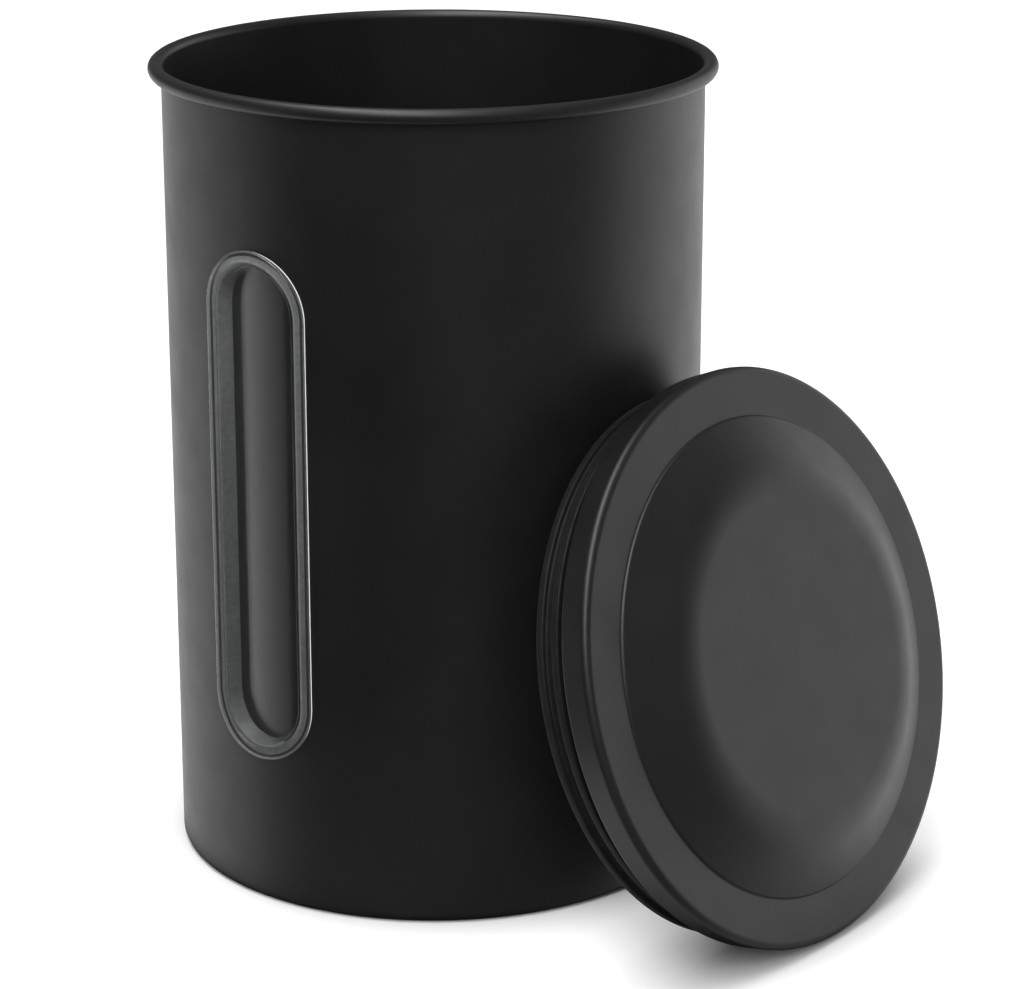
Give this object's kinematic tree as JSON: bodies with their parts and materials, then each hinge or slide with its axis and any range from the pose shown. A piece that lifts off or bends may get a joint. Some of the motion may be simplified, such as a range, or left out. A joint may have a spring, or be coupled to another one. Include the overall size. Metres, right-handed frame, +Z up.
{
  "type": "coffee canister",
  "caption": "Tall round black canister with a rolled rim, a long clear window in its wall, and a domed pull-off lid with a lipped seal, leaning beside it.",
  "frame": {"origin": "on the floor, at the bottom middle of the box round the canister and its leaning lid; the canister's axis is at x = -0.0306 m, y = -0.0017 m", "axes": "+Z up along the canister's axis; -Y out of the window; +X from the canister towards the leaning lid"},
  "size_m": [0.2183, 0.1606, 0.227],
  "materials": {
    "black_paint": "satin black powder coat",
    "clear_plastic": "clear, glossy",
    "silicone": "matte black silicone",
    "black_plastic": "fine matte black"
  },
  "bodies": {
    "canister": {"can_body": "black_paint", "base_plate": "black_paint", "window_lens": "clear_plastic", "window_seal": "silicone", "window_retainer": "black_plastic"},
    "lid": {"lid_cover": "black_paint", "lid_plug": "black_plastic", "lid_seal": "silicone"}
  },
  "joints": [
    {"name": "lid_tip", "type": "hinge", "parent": "canister", "child": "lid", "pos_m": [0.11969, 0.00172, 0], "axis": [0, 1, 0], "range_deg": [0, 107.2]}
  ]
}
